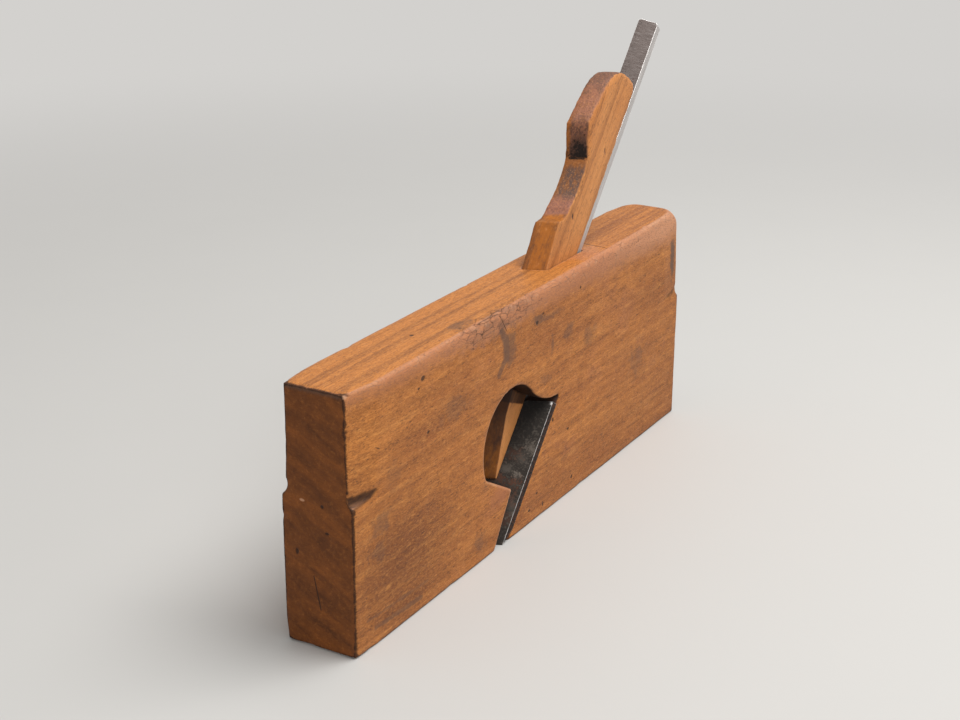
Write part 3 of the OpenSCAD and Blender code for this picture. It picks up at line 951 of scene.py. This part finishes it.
def wedge_finish(look):
    """Lighter beech: clean sides, a handled dark front, a black notch, painted light and shade in
    the mortise.
    """
    f = Finish("wedge_beech_handled")
    up = f.dot(f.at, UP_BED)
    out = f.dot(f.at, OUT_OF_BED)
    grain = f.whole(up, f.y, out)
    broad, streaks, fibres, flecks = beech(f, grain)
    ragged = f.noise(f.stretched((0.3, 0.3, 0.3)), 4, 0.68)
    mottle = f.noise(f.stretched((0.3, 0.75, 0.75), grain), 5, 0.72)
    patchy = f.noise(f.stretched((0.3, 0.7, 0.7), grain), 4, 0.7)
    fine = f.noise(f.stretched((1.3, 1.3, 1.3)), 3, 0.75)
    edge, hollow = f.layer("edge"), f.layer("hollow")
    turned = 1 - abs(f.facing_y).ramp(0.5, 0.85)
    on_front = turned * f.dot(f.normal, OUT_OF_BED).ramp(-0.4, -0.05)
    on_back = turned * f.dot(f.normal, OUT_OF_BED).ramp(-0.5, -0.9)

    # The clean wood of the sides
    wood = f.mix(broad * 0.6 + mottle * 0.4 - 0.12, look.light, look.warm)
    wood = f.mix(streaks * 0.5, wood, look.neck)
    wood = f.mix(fibres.swing(1.1) + 0.04, wood, look.neck)
    wood = f.mix(fine.swing(1.1), wood, look.dark)
    wood = f.mix(mottle.ramp(0.55, 0.75) * 0.3, wood, look.neck)
    wood = f.mix(flecks * 0.65, wood, look.dark)

    # The front of the leg, streaked dark at its left
    leg = f.mix(streaks * 0.6 + ragged.swing(1.3), look.leg, look.dark)
    leg = f.mix(mottle.ramp(0.5, 0.7) * 0.45, leg, look.dark)
    leg = f.mix((f.y + ragged.swing(4)).ramp(-1.5, -4.5) * 0.4, leg, look.dark)
    leg = f.mix(mottle.ramp(0.45, 0.3) * 0.4, leg, look.light)

    # The neck: orange at the left, grey and mottled in the middle, rosy in the hollow
    from_left = f.y + ragged.swing(3)
    grey = patchy.ramp(0.38, 0.56) * from_left.ramp(-3.4, -1.4) * 0.85
    neck = f.mix(grey, look.neck, look.grey)
    neck = f.mix((f.z + fine.swing(3)).ramp(119, 122.5) * 0.6, neck, look.leg)
    neck = f.mix((f.z + ragged.swing(3)).ramp(112, 109) * 0.85, neck, look.rosy)

    # The head: grey on its crown, dark low down, with orange showing at the left
    head = f.mix(patchy.ramp(0.48, 0.62) * 0.6, look.head, look.neck)
    head = f.mix((f.z + patchy.swing(12)).ramp(145, 150) * 0.6, head, look.grey)
    low = (f.z + patchy.swing(7)).ramp(141, 135.5)
    head = f.mix(low * (patchy.ramp(0.4, 0.56) * 0.55 + 0.2), head, look.dark)
    head = f.mix(low * from_left.ramp(-1.8, -3.2) * 0.8, head, look.leg)

    # The front from the leg up, then the back and the worn arrises
    front = f.mix(f.z.ramp(123.6, 124.2), neck, head)
    front = f.mix(fine.ramp(0.5, 0.66) * 0.35, front, look.dark)
    front = f.mix(fine.ramp(0.48, 0.34) * 0.3, front, look.light)
    front = f.mix((f.z + f.x * 0.1).ramp(102.6, 101.8), front, leg)
    wood = f.mix(on_front, wood, front)
    wood = f.mix(on_back * 0.5, wood, look.dark)
    arris = (edge + ragged.swing(1) + fine.swing(0.6)).ramp(0.5, 1) * f.z.ramp(88, 94)
    wood = f.mix(arris * (f.z.ramp(107, 110) * 0.5 + 0.1), wood, look.light)

    # Grime under the head, thickest towards the near side, with painted shade in the hollows there
    under = (hollow + ragged.swing(0.6)).ramp(0.25, 0.7) * f.z.ramp(118, 122)
    speckled = patchy.swing(2) + fine.swing(1.6)
    notch = f.spot(*NOTCH, speckled * 0.8, 0.55) * turned * f.z.ramp(123.2, 123.8)
    dirt_and_shade = (under * turned).most(notch * 0.97)
    wood = f.mix(dirt_and_shade, wood, look.grime_and_shade)

    # Inside the mortise: a painted shadow of the eye's roof above a sloping line, painted shade on
    # the front, darkest high up, and painted light on the sides below the line
    mouth = (f.z + ragged.swing(12)).ramp(88, 72)
    # Painted shadow of the eye's roof, above a sloping line
    deep = (f.z - f.x * 0.394 + fine.swing(0.8)).ramp(42.8, 43.6) * mouth
    wood = f.mix(deep * (0.95 - streaks * 0.2), wood, look.deep)
    # Painted shade on the front inside the mortise
    shut = on_front * mouth * ((f.z + ragged.swing(14)).ramp(18, 48) * 0.6 + 0.3)
    wood = f.mix(shut, wood, look.deep)
    # Painted light on the sides below the shadow line
    wood = f.mix((1 - turned) * (1 - deep) * f.z.ramp(44, 42) * 0.45, wood, look.light)

    loose, marks = ragged.swing(0.9), 0
    for centre, size, amount in WEDGE_MARKS:
        marks = (f.spot(centre, size, loose) * amount).most(marks)
    wood = f.mix(marks, wood, look.dark)
    height = fibres.swing(0.04) - flecks * 0.04 + (fine - 0.5) * (on_front * 0.07 + 0.025)
    height = height + (patchy - 0.5) * dirt_and_shade * 0.4
    rough = 0.55 + ragged.swing(0.2) + fine.swing(0.15) + dirt_and_shade * 0.15
    return f.done(wood, rough, height, Specular_IOR_Level=BEECH_GLOSS)


class PLANE_OT_wedge(bpy.types.Operator):
    """Makes the handled wedge from its CAD node"""

    bl_idname = "rabbet_plane.wedge"
    bl_label = "Wedge"

    def execute(self, context):
        look = context.scene.rabbet_plane.wedge
        piece = copy_of("wedge", "wedge_body")
        apply(piece, "REMESH", mode="VOXEL", voxel_size=look.skin, adaptivity=0.0)
        skin = Skin(piece)
        self.wear(skin, look.wear)
        edge, hollow = skin.bends(4)
        skin.write(edge=upto(edge, WEDGE_ARRIS), hollow=upto(hollow, WEDGE_HOLLOW))
        lighten(piece, 0.6 * MOST_FACES, WEDGE_LOW, WEDGE_HIGH)
        place(piece, "wedge", "wedge", wedge_finish(look))
        return {"FINISHED"}

    def wear(self, skin, depth):
        """Rounds the neck and the head, wears the arrises and presses the nicks in."""
        skin.soften(2)
        skin.round_off(upto(skin.at[:, 2] - 106, 10), 12)
        edge, _ = skin.bends(2)
        wide, _ = skin.bends(10)
        z = skin.at[:, 2]
        above_stock = np.clip((z - STOCK_HIGH.z) / 8, 0.25, 1)
        on_head = upto(z - 124, 6)
        strength = upto(edge, WEDGE_ARRIS) * above_stock
        strength = strength + upto(wide, WEDGE_ROUND) * on_head * 1.8
        skin.wear(strength, depth, 0.7, WEDGE_LUMPS)
        skin.press(WEDGE_NICKS)
        skin.round_off(on_head, 5)
        skin.keep_in(WEDGE_LOW, WEDGE_HIGH)


# The floor's size, and how far from the middle it starts and ends fading to the distance
FLOOR_SIZE, FADE_START, FADE_END = 6000, 300, 900
# The lamps: the name, the size and the place, in metres, and where both point
LAMPS = (("key", 0.8, (-0.22, 0.42, 1.12)), ("fill", 0.6, (0.9, 0.75, 0.45)))
LAMPS_AIM = Vector((0, 0, 0.06))
# The photograph's viewpoint, found by matching the stock's corners: the lens and the width of
# the sensor, the place in metres, and the turn about Z, the tilt downwards and the roll
LENS, SENSOR = 64.54, 36.0
VIEWPOINT = (0.51022, 0.28290, 0.27789)
YAW, DOWN, ROLL = (math.radians(angle) for angle in (-149.98, 20.54, 0.24))
# What the camera sees lies between these, in metres
NEAR, FAR = 0.01, 20.0


class PLANE_OT_stage(bpy.types.Operator):
    """Lays the floor and sets the lights and the camera"""

    bl_idname = "rabbet_plane.stage"
    bl_label = "Stage"

    def execute(self, context):
        scene, look = context.scene, context.scene.rabbet_plane.stage
        self.floor(scene, look)
        self.sky(scene, look)
        self.lamps(scene, look)
        scene.view_settings.view_transform = "Standard"
        self.camera(scene)
        return {"FINISHED"}

    def floor(self, scene, look):
        """A plain floor that fades to the colour of the distance."""
        work = bmesh.new()
        bmesh.ops.create_grid(work, x_segments=1, y_segments=1, size=FLOOR_SIZE * MM)
        mesh = bpy.data.meshes.new("floor")
        work.to_mesh(mesh)
        work.free()
        floor = bpy.data.objects.new("floor", mesh)
        scene.collection.objects.link(floor)
        f = Finish("floor_pale")
        cloud = f.noise(f.stretched((0.02, 0.02, 0.02)), 3)
        darker = tuple(part * 0.9 for part in look.floor)
        tone = f.mix(cloud.swing(0.2) + 0.1, look.floor, darker)
        away = f.vector("LENGTH", f.at, output="Value").ramp(FADE_START, FADE_END) * f.seen()
        glow = f.node("ShaderNodeEmission", values=dict(Color=(*look.distance, 1), Strength=1.0))

        def faded(lit):
            return f.node("ShaderNodeMixShader", values={0: away, 1: lit, 2: glow})
        rough, height = 0.6 + cloud.swing(0.1), cloud.swing(0.01)
        mesh.materials.append(f.done(tone, rough, height, over=faded))

    def sky(self, scene, look):
        """Even light from all round, and the colour of the distance where the sky is seen."""
        world = bpy.data.worlds.new("studio")
        scene.world = world
        world.use_nodes = True
        sky = Nodes(world.node_tree)
        light, far = (
            sky.node("ShaderNodeBackground", values={"Color": colour, "Strength": strength})
            for colour, strength in (((1, 1, 1, 1), look.sky), ((*look.distance, 1), 1.0))
        )
        both = sky.node("ShaderNodeMixShader", values={0: sky.seen(), 1: light, 2: far})
        sky.node("ShaderNodeOutputWorld", values={"Surface": both})

    def lamps(self, scene, look):
        """The large lamp overhead and the one beside the camera."""
        for name, size, spot in LAMPS:
            lamp = bpy.data.lights.new(name, "AREA")
            lamp.energy, lamp.size = getattr(look, name), size
            holder = bpy.data.objects.new(name, lamp)
            scene.collection.objects.link(holder)
            holder.location = spot
            holder.rotation_mode = "QUATERNION"
            aim = LAMPS_AIM - holder.location
            holder.rotation_quaternion = aim.to_track_quat("-Z", "Y")

    def camera(self, scene):
        """The camera at the photograph's viewpoint."""
        data = bpy.data.cameras.new("camera")
        data.sensor_fit, data.sensor_width, data.lens = "HORIZONTAL", SENSOR, LENS
        data.clip_start, data.clip_end = NEAR, FAR
        camera = bpy.data.objects.new("camera", data)
        scene.collection.objects.link(camera)
        level = math.cos(DOWN)
        ahead = Vector((math.cos(YAW) * level, math.sin(YAW) * level, -math.sin(DOWN)))
        right = Vector((math.sin(YAW), -math.cos(YAW), 0))
        up = right.cross(ahead)
        right, up = (
            right * math.cos(ROLL) + up * math.sin(ROLL),
            up * math.cos(ROLL) - right * math.sin(ROLL),
        )
        turned = Matrix((right, up, -ahead)).transposed()
        camera.matrix_world = Matrix.Translation(VIEWPOINT) @ turned.to_4x4()
        scene.camera = camera


# The settings and the step of each part of the sidebar, in the order in which the steps run
STEPS = (
    ("stock", PLANE_OT_stock),
    ("iron", PLANE_OT_iron),
    ("wedge", PLANE_OT_wedge),
    ("stage", PLANE_OT_stage),
)


class PLANE_PT_panel(bpy.types.Panel):
    """The plane's settings and the steps that make it"""

    bl_idname = "PLANE_PT_panel"
    bl_label = "Rabbet plane"
    bl_space_type = "VIEW_3D"
    bl_region_type = "UI"
    bl_category = "Rabbet Plane"

    def draw(self, context):
        settings = context.scene.rabbet_plane
        for name, step in STEPS:
            box = self.layout.box()
            group = getattr(settings, name)
            for prop in group.bl_rna.properties:
                if prop.identifier not in ("rna_type", "name"):
                    box.prop(group, prop.identifier)
            box.operator(step.bl_idname)


CLASSES = (
    StockSettings,
    IronSettings,
    WedgeSettings,
    StageSettings,
    PlaneSettings,
    *(step for _, step in STEPS),
    PLANE_PT_panel,
)


def register():
    """Adds the settings, the steps and the panel."""
    for kind in CLASSES:
        bpy.utils.register_class(kind)
    bpy.types.Scene.rabbet_plane = PointerProperty(type=PlaneSettings)


def unregister():
    """Takes them away again."""
    del bpy.types.Scene.rabbet_plane
    for kind in reversed(CLASSES):
        bpy.utils.unregister_class(kind)


def main():
    """Makes every piece and the stage."""
    register()
    bpy.ops.rabbet_plane.stock()
    bpy.ops.rabbet_plane.iron()
    bpy.ops.rabbet_plane.wedge()
    bpy.ops.rabbet_plane.stage()


if __name__ == "__main__":
    main()
